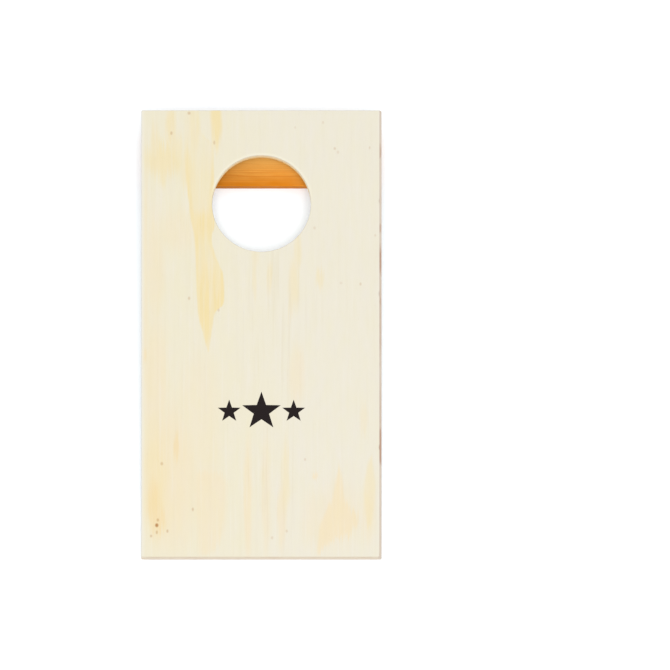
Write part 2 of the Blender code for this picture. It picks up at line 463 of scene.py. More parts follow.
def edgeWear(point, outward):
    # how far the cut edge of the plies stands back: glue lines, open fibres and small chips
    glueDistance = min(abs(point.z - height) for height in glueHeights)
    groove = deckLook["glueGroove"] * math.exp(-(glueDistance / deckLook["glueLine"]) ** 2)
    ply = sum(point.z > height for height in glueHeights)
    openness = 1.0 if ply % 2 else 0.45
    pits = max(0.0, noise.noise(point / deckLook["pitSize"])) * deckLook["pitDepth"] * openness
    chipping = noise.noise(point / deckLook["chipSize"]) - 0.42
    nearTop = max(0.0, 1 - (deckTop - point.z) / deckLook["chipReach"])
    chip = max(0.0, chipping) * 3 * deckLook["chipDepth"] * nearTop
    return groove + pits + chip


def makeDeckShape():
    shape = bmesh.new()
    size = deckHigh - deckLow
    stepsX, stepsY = round(size.x / deckLook["pointStep"]), round(size.y / deckLook["pointStep"])

    def outerLoop(height, inset):
        low = (deckLow.x + inset, deckLow.y + inset)
        high = (deckHigh.x - bevelInset(height, inset), deckHigh.y - inset)
        return roundedLoop(low, high, deckLook["cornerRadius"], stepsX, stepsY)

    def holeLoop(height, inset):
        return ringLoop(holeMiddle.xy, holeRadius + inset, deckLook["holePoints"])

    both = []
    for ease, loopAt, way in ((deckLook["edgeEase"], outerLoop, 1), (deckLook["rimEase"], holeLoop, -1)):
        profile = easedProfile(0.0, deckTop, ease, deckHeights(), deckLook["faceMargin"])
        both.append(stackRows(shape, wornRows(profile, ease, loopAt, edgeWear, way)))
    outer, inner = both
    fillBetween(shape, [outer[0], inner[0]])
    fillBetween(shape, [outer[-1], inner[-1]])
    return shape


veneerLook = {
    "undersideShift": 150,
    "gain": 0.70,  # how much of the light the face gives back, against its display colour
    # the hole's wall is given a higher gain than the face, painted light that brightens it
    "wallPaintedLightGain": 0.875,  # the same for the hole's wall
    "roughness": 0.46,
    "gloss": 0.35,
    "relief": 0.06,  # bump depth in millimetres
    "cream": (240, 233, 208),
    "coolCream": (239, 233, 214),
    "yellow": (245, 225, 170),
    "peach": (245, 227, 190),
    "orange": (246, 214, 150),
    "knot": (190, 140, 84),
    "darkLine": (214, 198, 162),
    "paleLine": (244, 239, 228),
    "pore": (196, 170, 126),
    # the long streak, as y and its left and right edges in millimetres
    "streak": [
        (182, -61, -49), (165, -61, -48), (150, -60.5, -38), (130, -60, -37.5), (118, -59, -37.5),
        (108, -57.5, -37.5), (98, -56.5, -38), (88, -55, -37), (78, -53, -39), (66, -52.5, -37),
        (55, -52, -33), (45, -51.5, -30), (30, -51, -29.5), (23, -50.5, -31), (17, -50, -37),
        (8, -48.5, -38.5), (0, -46, -39.5), (-8, -44, -40.5), (-15, -42.4, -41.6),
    ],
    "streakStrength": [
        (182, 0.12), (160, 0.2), (140, 0.5), (118, 0.8), (90, 0.95), (60, 0.72), (40, 0.85), (15, 0.85),
        (-14, 0.6), (-16, 0),
    ],
    "streakMiddle": [(182, 0.9), (150, 0.6), (105, 0.5), (90, 0.95), (70, 0.75), (50, 0.95), (-15, 1.0)],
    # other shaped patches: tone, strength, edge softness, and y with the left and right edges
    "shapedPatches": [
        ("peach", 0.75, 1.6, [
            (-108, 61, 61.5), (-120, 58.5, 64), (-132, 56.5, 65.5), (-140, 53, 68), (-149, 48.5, 77),
            (-157, 46, 75), (-166, 45, 64), (-172, 44.5, 50), (-180, 45, 46),
        ]),
        ("peach", 0.5, 3.0, [
            (-112, -50, -46), (-120, -52, -28), (-140, -52, -28), (-160, -51, -30), (-172, -50, -35),
            (-180, -48, -46),
        ]),
        ("yellow", 0.4, 1.8, [
            (-100, 86.5, 87), (-112, 83, 89), (-126, 81, 90), (-140, 81.5, 89), (-156, 83, 86),
        ]),
    ],
    # middle x and y, half width and half length, strength, in millimetres
    "yellowPatches": [
        (-36, 172, 4.2, 22, 0.85), (-53, 168, 4, 20, 0.35), (-71, 168, 4, 16, 0.55),
        (-84, 152, 3, 20, 0.45), (-77, 141, 15, 13, 0.6), (-78, 127, 2.5, 9, 0.45),
        (-67, 150, 5, 15, 0.4), (-59, 133, 5, 16, 0.35),
        (-84, -120, 9, 46, 0.4), (-83, -142, 7, 24, 0.45), (26, 40, 4, 20, 0.4), (29, 68, 3, 16, 0.35),
        (46, 45, 3, 8, 0.4), (6.5, 45, 1.8, 13, 0.4), (-5, 45, 1.5, 16, 0.3), (-44, 88, 6, 9, 0.35),
        (19.5, -115, 3, 28, 0.35), (81, -69, 3, 12, 0.25), (-5, 62, 3, 8, 0.25), (23, 20, 2, 9, 0.3),
    ],
    "peachPatches": [
        (-66, 84, 14, 16, 0.35), (-84, 56, 7, 42, 0.4), (-91.5, 40, 2, 90, 0.4), (-84, -45, 10, 55, 0.5),
        (-72, -115, 20, 56, 0.6), (-50, -60, 16, 40, 0.3), (-62, -150, 9, 24, 0.35),
        (60, -148, 20, 26, 0.3), (84, -150, 6, 20, 0.35), (28, -34, 6, 22, 0.4), (16, -148, 3.5, 24, 0.5),
        (3.5, -130, 3.5, 44, 0.4), (-11, -135, 3, 46, 0.6), (42.5, -115.5, 2.4, 2, 0.9),
        (-45, -95, 12, 30, 0.3), (40, -150, 8, 20, 0.3),
    ],
    "orangePatches": [
        (-85, -140, 5, 20, 0.4), (-81, -152, 5, 9, 0.35), (-67.6, -92, 2.0, 10, 0.4),
        (-92, -18, 1.6, 5, 0.3),
    ],
    "greyGrain": [
        (-10, -130, 4, 48, 0.5), (3.5, -128, 2.6, 50, 0.45), (21, -130, 4, 46, 0.5),
        (12, 20, 22, 60, 0.4),
    ],
    # middle x and y, half width and half length, strength
    "pinKnots": [
        (-82, -151, 0.9, 1.2, 0.5), (-82.8, -155.3, 1.25, 1.5, 1.0), (-82.8, -161, 0.8, 1.4, 0.45),
        (-74.3, -160, 0.8, 1.3, 0.45), (-87.3, -164, 0.9, 1.1, 0.4), (-54.3, -142.4, 0.8, 1.4, 0.4),
        (-78.8, -105.4, 1.1, 1.3, 0.4), (-57.2, 28.6, 0.9, 1.3, 0.35), (-33.9, 19, 0.8, 1.2, 0.3),
        (-71.2, 162.4, 0.9, 1.4, 0.4), (-37.3, 154.8, 0.8, 1.5, 0.35), (-57.2, 178.6, 1.2, 1.2, 0.4),
        (34.5, -102, 0.8, 1.2, 0.25), (58, 150, 0.9, 1.1, 0.3), (60.6, 147, 1.0, 1.2, 0.2),
        (78.4, 40.2, 0.8, 1.2, 0.3), (48.7, 171, 0.8, 1.2, 0.2), (85.6, 150.6, 0.7, 1.2, 0.25),
        (42, 85.6, 1.0, 1.2, 0.2), (26.7, 167, 0.6, 1.0, 0.2), (90, 79.6, 0.8, 1.0, 0.2),
        (20, -160, 0.9, 1.2, 0.25), (8.4, -165.4, 0.9, 1.2, 0.25), (63, 41, 1.2, 1.0, 0.15),
    ],
    "longPly": (255, 244, 221),
    "endPly": (235, 213, 188),
    "redPly": (222, 186, 158),
    "sandedRight": (221, 204, 187),
    "stainedRight": (190, 148, 124),
    # y of the middle and half length of the darker stretches down the right edge
    "stains": [
        (85, 4, 0.6), (59, 10, 1.0), (-91, 14, 1.0), (148, 4, 0.5), (12, 30, 0.35), (-60, 18, 0.3),
    ],
    # the hole's wall is painted with light: pale at the top where the lamp reaches it, golden lower down as a
    # painted reflection of the orange leg
    "wallLowPaintedReflection": (248, 216, 140),
    "wallTopPaintedLight": (255, 247, 214),
    # a painted highlight along the hole's back rim
    "rimPaintedHighlight": (250, 244, 220),
    "paleMargin": (243, 240, 232),
    # the eased rounds: a grey that is partly the cut veneer's own tone and partly painted shade, and a tan for
    # those at the front
    "easedShadeGrey": (224, 224, 220),
    "easedTan": (226, 208, 180),
    "glue": (150, 112, 80),
}


def veneerFace(bench, place, across, along, up):
    # the face veneer: even cream, fine fibres, feathered yellow streaks, peach patches and pin knots
    look, tones = veneerLook, tonesOf(veneerLook)
    # the underside is another sheet, turned over and moved along
    under = bench.ramp(up, deckTop / mm * 0.45, deckTop / mm * 0.55, 1.0, 0.0)
    across = across * (1 - under * 2)
    along = along + under * look["undersideShift"]
    broad = bench.noise(place, (60, 150, 9), 2)
    fibre = bench.noise(place, (0.9, 60, 5), 3, 0.6)
    fine = bench.noise(place, (0.45, 12, 5), 3, 0.65)
    wander = (bench.noise(place, (40, 30, 9), 1) - 0.5) * 3
    raggedX = across + wander + (fibre - 0.5) * 4
    ragged = bench.join(raggedX, along + (fibre - 0.5) * 40, 0.0)

    warmSide = bench.ramp(across + (broad - 0.5) * 160, -70, 45)
    colour = bench.mix(warmSide, tones["cream"], tones["coolCream"])
    for tone in ("peach", "yellow", "orange"):
        colour = bench.mix(bench.spots(ragged, look[tone + "Patches"]), colour, tones[tone])
    for tone, strength, soft, outline in look["shapedPatches"]:
        shaped = bench.band(across + (fibre - 0.5) * 3, along + (fibre - 0.5) * 34, outline, soft)[1]
        colour = bench.mix(shaped * strength, colour, tones[tone])
    streakX = across + wander * 0.5 + (fibre - 0.5) * 2.5
    inside, streak = bench.band(streakX, along, look["streak"], 0.7)
    middle = bench.follow(along, look["streakMiddle"])
    outerLine = bench.ramp(inside, 2.0, 5.5, 1.0, 0.0)
    level = bench.maths("MAXIMUM", middle, outerLine) * bench.follow(along, look["streakStrength"])
    figure = 0.8 + bench.ramp(bench.noise(place, (3, 45, 9), 2), 0.4, 0.6) * 0.3
    colour = bench.mix(streak * level * figure, colour, tones["yellow"])

    flow = bench.noise(place, (2.6, 90, 9), 2, 0.5)
    darkLines = bench.ramp(flow, 0.5, 0.66) * 0.55
    lines = darkLines * (0.3 + bench.spots(ragged, look["greyGrain"], 0.6) * 1.8)
    colour = bench.mix(lines * 0.26, colour, tones["darkLine"])
    paleLines = bench.ramp(bench.noise(place, (1.8, 70, 9), 2, 0.5), 0.54, 0.7)
    colour = bench.mix(paleLines * 0.2, colour, tones["paleLine"])
    mottle = bench.noise(place, (5, 16, 9), 2, 0.6)
    shadeLevel = 0.965 + fine * 0.05 + mottle * 0.02
    blueLevel = shadeLevel - 0.065 + bench.noise(place, (7, 22, 9), 2, 0.6) * 0.13
    colour = bench.dimmed(colour, shadeLevel, blueLevel)
    pores = bench.ramp(bench.noise(place, (0.35, 5, 5), 2, 0.6), 0.66, 0.76)
    colour = bench.mix(pores * 0.16, colour, tones["pore"])

    pale = bench.ramp(across, deckLow.x / mm, deckLow.x / mm + 3.5, 0.55, 0.0)
    colour = bench.mix(pale, colour, tones["paleMargin"])
    # a painted highlight along the back rim of the hole, where the eased edge faces the lamp
    holeAway = bench.vector("SUBTRACT", bench.join(across, along, 0.0), holeCentre)
    fromRim = bench.vector("LENGTH", holeAway, (0.0, 0.0, 0.0), 1) - rimRadius / mm
    backOfHole = bench.ramp(along, holeMiddle.y / mm - 10, holeMiddle.y / mm + 20)
    rimPaintedHighlight = bench.ramp(fromRim, 0.8, 2.2, 0.5, 0.0) * backOfHole
    colour = bench.mix(rimPaintedHighlight, colour, tones["rimPaintedHighlight"])
    flat = bench.join(across + (fine - 0.5) * 0.8, along, 0.0)
    colour = bench.mix(bench.spots(flat, look["pinKnots"], 0.55), colour, tones["knot"])
    return colour, fine, pores


def plyEdge(bench, place, across, up):
    # the cut edge: plies that lie turn about, thin glue lines, and reddish stretches in the crossed plies
    look, tones = veneerLook, tonesOf(veneerLook)
    plyHeight = innerPly / mm
    layer = (up - glueHeights[0] / mm) / plyHeight
    turn = bench.maths("PINGPONG", bench.maths("FLOOR", layer), 1.0)
    fromHole = bench.vector("SUBTRACT", place, holeCentre)
    holeX, holeY = bench.split(fromHole)[:2]
    squaredX, squaredY = holeX * holeX, holeY * holeY
    reach = bench.maths("SQRT", squaredX + squaredY)
    nearHole = bench.ramp(reach, holeRadius / mm + 2, holeRadius / mm + 3, 1.0, 0.0)
    sideways = bench.ramp(bench.maths("ABSOLUTE", across), deckHigh.x / mm - 4, deckHigh.x / mm - 3)
    facing = bench.maths("MAXIMUM", sideways, squaredX / (squaredX + squaredY) * nearHole)
    endGrain = 1 - bench.maths("ABSOLUTE", facing - turn)
    grain = bench.noise(place, (2.2, 2.2, 0.22), 3, 0.6)
    red = bench.ramp(bench.noise(place, (15, 15, 2.2), 1), 0.5, 0.62) * 0.6
    ends = bench.mix(red, tones["endPly"], tones["redPly"])
    colour = bench.mix(endGrain, tones["longPly"], ends)
    # the hole's wall is painted with light: pale at the top where the lamp reaches it, golden lower down as a
    # painted reflection of the orange leg
    wallLitToTop = bench.ramp(up, deckTop / mm * 0.1, deckTop / mm * 0.75)
    wallLow, wallTop = (shade(*look[name], look["wallPaintedLightGain"]) for name in ("wallLowPaintedReflection", "wallTopPaintedLight"))
    wall = bench.mix(wallLitToTop, wallLow, wallTop)
    colour = bench.mix(nearHole * 0.78, colour, wall)
    colour = bench.dimmed(colour, 0.86 + grain * 0.28)
    fromGlue = bench.maths("PINGPONG", layer, 0.5) * plyHeight
    glue = bench.ramp(fromGlue, 0.02, 0.13, 1.0, 0.0)
    colour = bench.mix(glue * 0.6, colour, tones["glue"])
    return colour, grain - glue * 0.5


def rightEdge(bench, place, along, up, colour):
    # the sanded right edge, with darker reddish stretches
    look, tones = veneerLook, tonesOf(veneerLook)
    blotch = bench.noise(place, (4, 9, 4), 3, 0.6)
    worn = along + (blotch - 0.5) * 16
    stained = 0.0
    for middle, half, strength in look["stains"]:
        stain = bench.ramp(bench.maths("ABSOLUTE", worn - middle), half * 0.5, half * 1.5, strength, 0.0)
        stained = bench.maths("MAXIMUM", stained, stain)
    stained = bench.maths("MINIMUM", stained + bench.ramp(blotch, 0.5, 0.8) * 0.35, 1.0)
    tone = bench.mix(stained, tones["sandedRight"], tones["stainedRight"])
    bevelFoot = (deckTop - deckLook["rightBevel"]) / mm
    sanded = bench.ramp(up, bevelFoot - 1, bevelFoot, 0.3, 0.88)
    return bench.mix(sanded, colour, tone)


def makeVeneer():
    material, bench = newMaterial("pale_veneer_plywood")
    place = boardPlace(bench)
    across, along, up = bench.split(place)
    face, fine, pores = veneerFace(bench, place, across, along, up)
    edge, edgeRelief = plyEdge(bench, place, across, up)
    thickness = deckTop / mm
    fromFace = bench.maths("MINIMUM", up, thickness - up)
    skin = deckLook["faceVeneer"] / mm
    onEdge = bench.ramp(fromFace, skin - 0.05, skin + 0.05)
    # the eased rounds are greyed, partly the cut veneer's own tone and partly painted shade, with tan towards the
    # front
    easedShading = bench.ramp(fromFace, 0.01, 0.2) * 0.75
    front = bench.ramp(along, (deckLow.y + holeRadius) / mm, deckLow.y / mm + 2)
    tones = tonesOf(veneerLook)
    eased = bench.mix(front, tones["easedShadeGrey"], tones["easedTan"])
    face = bench.mix(easedShading, face, eased)
    colour = bench.mix(onEdge, face, edge)
    onRight = bench.ramp(across, 0, 1) * bench.ramp(fromFace, 0.02, 0.3)
    bevelStart = (deckHigh.x - 2 * deckLook["rightBevel"]) / mm
    onRight = onRight * bench.ramp(across, bevelStart, deckHigh.x / mm - 2)
    colour = bench.mix(onRight, colour, rightEdge(bench, place, along, up, colour))
    roughness = veneerLook["roughness"] + fine * 0.12 + onEdge * 0.25 + pores * 0.1
    height = fine * 0.5 - pores * 0.5 + onEdge * edgeRelief
    uniform = {"Specular IOR Level": veneerLook["gloss"]}
    finishMaterial(bench, colour, roughness, height, veneerLook["relief"], uniform)
    return material


addPiece("deck_panel_veneered", smoothed(meshOf(makeDeckShape(), "deck")), makeVeneer(),
         "deck", ["deck_panel"])
print("deck made")


# Star print, a plain row of three

printLook = {
    "fromMiddle": -63 * mm,
    "stars": [(0.0, 16.0 * mm), (-25.5 * mm, 9.5 * mm), (25.5 * mm, 9.5 * mm)],  # middle x, point radius
    "innerShare": 0.40,
    "lift": 0.01 * mm,
    "inkThickness": 0.03 * mm,
    "edgeSteps": 10,
    "edgeWander": 0.05 * mm,
    "ink": (26, 18, 18),
    "wornInk": (92, 80, 66),
}


def starOutline(middleX, radius):
    corners = []
    for index in range(10):
        angle = math.pi / 2 + index * math.pi / 5
        reach = radius if index % 2 == 0 else radius * printLook["innerShare"]
        middle = Vector((middleX, printLook["fromMiddle"]))
        corners.append(middle + reach * Vector((math.cos(angle), math.sin(angle))))
    points = []
    for start, end in zip(corners, corners[1:] + corners[:1]):
        for step in range(printLook["edgeSteps"]):
            point = start.lerp(end, step / printLook["edgeSteps"])
            stray = noise.noise(Vector((point.x, point.y, 0)) / mm) * printLook["edgeWander"]
            points.append(point + Vector((stray, -stray)))
    return points


def makeStars():
    shape = bmesh.new()
    base = deckTop + printLook["lift"]
    for middleX, radius in printLook["stars"]:
        outline = starOutline(middleX, radius)
        heights = (base, base + printLook["inkThickness"])
        rows = [[Vector((*point, height)) for point in outline] for height in heights]
        loops = stackRows(shape, rows)
        for loop in loops:
            fillBetween(shape, [loop])
    return shape


def makeInk():
    material, bench = newMaterial("star_print_ink")
    tones = tonesOf(printLook)
    place = boardPlace(bench)
    fibre = bench.noise(place, (0.5, 14, 5), 3, 0.6)
    worn = bench.ramp(fibre, 0.62, 0.8)
    colour = bench.mix(worn * 0.25, tones["ink"], tones["wornInk"])
    finishMaterial(bench, colour, 0.5 + fibre * 0.2, fibre, 0.03, {"Specular IOR Level": 0.1})
    return material


addPiece("star_print", meshOf(makeStars(), "stars"), makeInk(), "deck", [])
print("print made")


# Leg plank

legLook = {
    "edgeEase": 0.8 * mm,
    "cornerRadius": 0.9 * mm,
    "pointStep": 1.6 * mm,
    "sideRows": 9,
    "faceMargin": 2.5 * mm,
    "sawMark": 0.05 * mm,
    "sawMarkSize": 0.7 * mm,
    "gain": 0.98,
    "roughness": 0.5,
    "gloss": 0.05,
    "relief": 0.08,
    "light": (235, 178, 92),
    "deep": (202, 120, 18),
    "late": (186, 104, 22),
    "sawnEnd": (176, 104, 46),
    "ringUnevenness": 9.0,
    "ringWidth": 1.05,  # millimetres between growth rings
    "heart": (-62.0, -42.0),  # where the tree's middle lay, y from the plank's middle and z
}


def sawWear(point, outward):
    # saw marks across the two sawn ends
    mark = noise.noise(Vector((point.y, point.z * 0.3, 0)) / legLook["sawMarkSize"])
    return max(0.0, mark) * abs(outward.x) * legLook["sawMark"]


def makeLegShape():
    shape = bmesh.new()
    size = legHigh - legLow
    stepsX, stepsY = round(size.x / legLook["pointStep"]), round(size.y / legLook["pointStep"])
    ease = legLook["edgeEase"]
    rise = (size.z - 2 * ease) / (legLook["sideRows"] + 1)
    heights = [legLow.z + ease + rise * (row + 1) for row in range(legLook["sideRows"])]

    def plankLoop(height, inset):
        low = (legLow.x + inset, legLow.y + inset)
        high = (legHigh.x - inset, legHigh.y - inset)
        return roundedLoop(low, high, legLook["cornerRadius"], stepsX, stepsY)

    profile = easedProfile(legLow.z, legHigh.z, ease, heights, legLook["faceMargin"])
    loops = stackRows(shape, wornRows(profile, ease, plankLoop, sawWear))
    fillBetween(shape, [loops[0]])
    fillBetween(shape, [loops[-1]])
    return shape


def makePine():
    # growth rings round the tree's middle, so the faces show lines and the ends show arcs
    look, tones = legLook, tonesOf(legLook)
    material, bench = newMaterial("orange_pine")
    place = boardPlace(bench)
    across, along, up = bench.split(place)
    legMiddle = (legLow + legHigh) / 2
    waver = (bench.noise(place, (110, 14, 14), 2, 0.55) - 0.5) * 7
    fromHeartY = along - (legMiddle.y / mm + look["heart"][0])
    fromHeartZ = up - look["heart"][1]
    radius = bench.maths("SQRT", fromHeartY * fromHeartY + fromHeartZ * fromHeartZ) + waver
    uneven = bench.noise(bench.join(radius, 0.0, 0.0), (6, 1, 1), 2) * look["ringUnevenness"]
    ring = bench.maths("FRACT", (radius + uneven) / look["ringWidth"])
    lateWood = bench.ramp(ring, 0.35, 0.85) * bench.ramp(ring, 0.88, 1.0, 1.0, 0.0)
    fibre = bench.noise(place, (34, 0.5, 0.5), 3, 0.65)
    blotch = bench.noise(place, (26, 9, 9), 2)
    streak = bench.noise(place, (90, 0.9, 0.9), 2)
    # deeper orange at the leg's front edge and paler further back: partly the wood's own colour, partly painted
    # light on the back part, which lies in the deck's shade
    front = bench.ramp(along, legLow.y / mm - 2, legLow.y / mm + 26, 0.95, 0.0)
    deeper = bench.maths("MINIMUM", front + (blotch - 0.5) * 0.6, 1.0)
    deeper = bench.maths("MAXIMUM", deeper, 0.0)
    colour = bench.mix(deeper, tones["light"], tones["deep"])
    colour = bench.mix(lateWood * 0.4, colour, tones["late"])
    # fibre and streak tone, with painted shade darker to the left and painted light to the right
    level = (0.79 + fibre * 0.1 + streak * 0.28) * bench.ramp(across, -30, 36, 0.88, 1.08)
    colour = bench.dimmed(colour, level)
    ends = bench.ramp(bench.maths("ABSOLUTE", across), legHigh.x / mm - 0.8, legHigh.x / mm - 0.4)
    colour = bench.mix(ends * 0.45, colour, tones["sawnEnd"])
    roughness = look["roughness"] + fibre * 0.15 - lateWood * 0.08
    height = fibre * 0.35 + lateWood * 0.65
    uniform = {"Specular IOR Level": look["gloss"]}
    finishMaterial(bench, colour, roughness, height, look["relief"], uniform)
    return material


addPiece("folding_leg_plank", smoothed(meshOf(makeLegShape(), "leg")), makePine(),
         "leg", ["folding_leg"])
print("leg made")


# Hinges

hingeLook = {
    "leafThickness": 1.2 * mm,
    "knuckles": 5,
    "knuckleGap": 0.3 * mm,
    "boreClearance": 0.05 * mm,
    "cornerRadius": 1.8 * mm,
    "knuckleSteps": 40,
    "roundSteps": 32,  # round bores, screw seats and pins
    "pinDome": 0.45,  # how high the pin's ends are domed, as a share of its radius
    "tolerance": 0.001 * mm,
    "cutMargin": 1.0 * mm,
    "brass": (226, 190, 112),
    "tarnish": (150, 112, 58),
    "roughness": 0.24,
}


def makeBrass(name, grainSize):
    material, bench = newMaterial(name)
    tones = tonesOf(hingeLook)
    place = boardPlace(bench)
    cloud = bench.noise(place, (3.5, 3.5, 3.5), 4, 0.6)
    brushed = bench.noise(place, grainSize, 2, 0.6)
    tarnish = bench.ramp(cloud, 0.5, 0.75) * 0.55
    colour = bench.mix(tarnish, tones["brass"], tones["tarnish"])
    roughness = hingeLook["roughness"] + tarnish * 0.35 + brushed * 0.1
    finishMaterial(bench, colour, roughness, brushed, 0.01, {"Metallic": 1.0})
    return material


def leafOutline(side, knuckleRadius, leafReach):
    # end view of a leaf, (y, z) from the pin's axis: a flat plate that runs off the rolled knuckle
    innerZ = knuckleRadius - hingeLook["leafThickness"]
    meeting = math.pi - math.asin(innerZ / knuckleRadius)
    sweep = math.pi / 2 + 2 * math.pi - meeting
    points = [(-leafReach, knuckleRadius)]
    for step in range(hingeLook["knuckleSteps"] + 1):
        angle = math.pi / 2 - sweep * step / hingeLook["knuckleSteps"]
        points.append((knuckleRadius * math.cos(angle), knuckleRadius * math.sin(angle)))
    points.append((-leafReach, innerZ))
    return [(y, side * z) for y, z in points]


def leafBlank(outline, halfLength, leafReach):
    shape = bmesh.new()
    ends = [[shape.verts.new((x, y, z)) for y, z in outline] for x in (-halfLength, halfLength)]
    for index in range(len(outline)):
        shape.faces.new((ends[0][index - 1], ends[0][index], ends[1][index], ends[1][index - 1]))
    shape.faces.new(ends[0])
    shape.faces.new(ends[1])
    bmesh.ops.recalc_face_normals(shape, faces=shape.faces)
    corners = [edge for edge in shape.edges
               if all(abs(vertex.co.y + leafReach) < hingeLook["tolerance"] for vertex in edge.verts)
               and abs(edge.verts[0].co.x - edge.verts[1].co.x) < hingeLook["tolerance"]]
    bmesh.ops.bevel(shape, geom=corners, offset=hingeLook["cornerRadius"], segments=6,
                    affect="EDGES", profile=0.5)
    return meshOf(shape, "leaf")


def notchShapes(firstKnuckle, halfLength, knuckleRadius):
    # room for the other leaf's knuckles
    pitch = 2 * halfLength / hingeLook["knuckles"]
    gap, margin = hingeLook["knuckleGap"] / 2, hingeLook["cutMargin"]
    reach = knuckleRadius + hingeLook["knuckleGap"]
    for index in range(firstKnuckle, hingeLook["knuckles"], 2):
        start = -halfLength + index * pitch
        lowX = start - (margin if index == 0 else gap)
        highX = start + pitch + (margin if index == hingeLook["knuckles"] - 1 else gap)
        yield boxShape((lowX, -reach, -reach), (highX, reach, reach))


def makeLeaf(hinge, part, side, firstNotch, body, material):
    node = hinge + "_" + part + "_leaf"
    low, high = boardBox(node)
    pinLow, pinHigh = boardBox(hinge + "_pin")
    halfLength = (high.x - low.x) / 2
    knuckleRadius = high.y - hingeAxis.y
    leafReach = hingeAxis.y - low.y
    mesh = leafBlank(leafOutline(side, knuckleRadius, leafReach), halfLength, leafReach)
    boreRadius = (pinHigh.z - pinLow.z) / 2 + hingeLook["boreClearance"]
    alongX = Matrix.Rotation(math.pi / 2, 4, "Y")
    bore = turnedShape([(0, -2 * halfLength), (boreRadius, -2 * halfLength), (boreRadius, 2 * halfLength),
                        (0, 2 * halfLength)], hingeLook["roundSteps"], alongX)
    cutters = [*notchShapes(firstNotch, halfLength, knuckleRadius), bore]
    axis = Vector(((low.x + high.x) / 2, hingeAxis.y, hingeAxis.z))
    for row in ("outer", "inner"):
        screwLow, screwHigh = boardBox(hinge + "_" + part + "_screw_" + row)
        cutters.append(countersink(screwLow, screwHigh, side, axis))
    mesh = carved(mesh, cutters)
    mesh.transform(Matrix.Translation(axis))
    addPiece(node + "_brass", smoothed(mesh, 30), material, body, [node])


def countersink(screwLow, screwHigh, side, axis):
    # side 1: the head is at the bottom and the shank goes up into the deck
    clearance = screwLook["seatClearance"]
    headRadius = (screwHigh.x - screwLow.x) / 2 + clearance
    shankRadius = screwLook["shankRadius"] + clearance
    margin = hingeLook["cutMargin"]
    headZ = (screwLow.z if side > 0 else screwHigh.z) - axis.z
    land = -screwLook["headLand"]
    coneEnd = land - headRadius + shankRadius
    profile = [(0, margin), (headRadius, margin), (headRadius, land), (shankRadius, coneEnd),
               (shankRadius, -3 * margin), (0, -3 * margin)]
    middle = (screwLow + screwHigh) / 2
    place = Matrix.Translation((middle.x - axis.x, middle.y - axis.y, headZ))
    turnedOver = Matrix.Rotation(math.pi, 4, "X") if side > 0 else Matrix.Identity(4)
    return turnedShape(profile, hingeLook["roundSteps"], place @ turnedOver)


def makePin(hinge, material):
    low, high = boardBox(hinge + "_pin")
    radius, half = (high.z - low.z) / 2, (high.x - low.x) / 2
    dome = []
    for angle in (15, 30, 50, 70, 90):
        turn = math.radians(angle)
        drop = hingeLook["pinDome"] * radius * (1 - math.cos(turn))
        dome.append((radius * math.sin(turn), half - drop))
    bottom, top = [(r, -z) for r, z in dome], [(r, z) for r, z in reversed(dome)]
    profile = [(0, -half), *bottom, *top, (0, half)]
    place = Matrix.Translation((low + high) / 2) @ Matrix.Rotation(math.pi / 2, 4, "Y")
    mesh = meshOf(turnedShape(profile, hingeLook["roundSteps"], place), "pin")
    addPiece(hinge + "_pin_brass", smoothed(mesh, 50), material, "deck", [hinge + "_pin"])


# Screws, all the same, set by a geometry node tree on one point each

screwLook = {
    "headLand": 0.1 * mm,
    "shankRadius": 1.0 * mm,
    "coreRadius": 0.72 * mm,
    "threadPitch": 0.9 * mm,
    "threadDepth": 0.3 * mm,
    "tipLength": 2.0 * mm,
    "recessLength": 2.2 * mm,
    "recessWidth": 0.55 * mm,
    "recessDepth": 0.75 * mm,
    "seatClearance": 0.1 * mm,
    "tipRadius": 0.02 * mm,
    "linePoints": 60,
    "sides": 24,
    "threadStepsPerTurn": 18,
}


def addInput(tree, name, kind, value=None):
    made = tree.interface.new_socket(name=name, in_out="INPUT", socket_type="NodeSocket" + kind)
    if value is not None:
        made.default_value = value
    return made.identifier


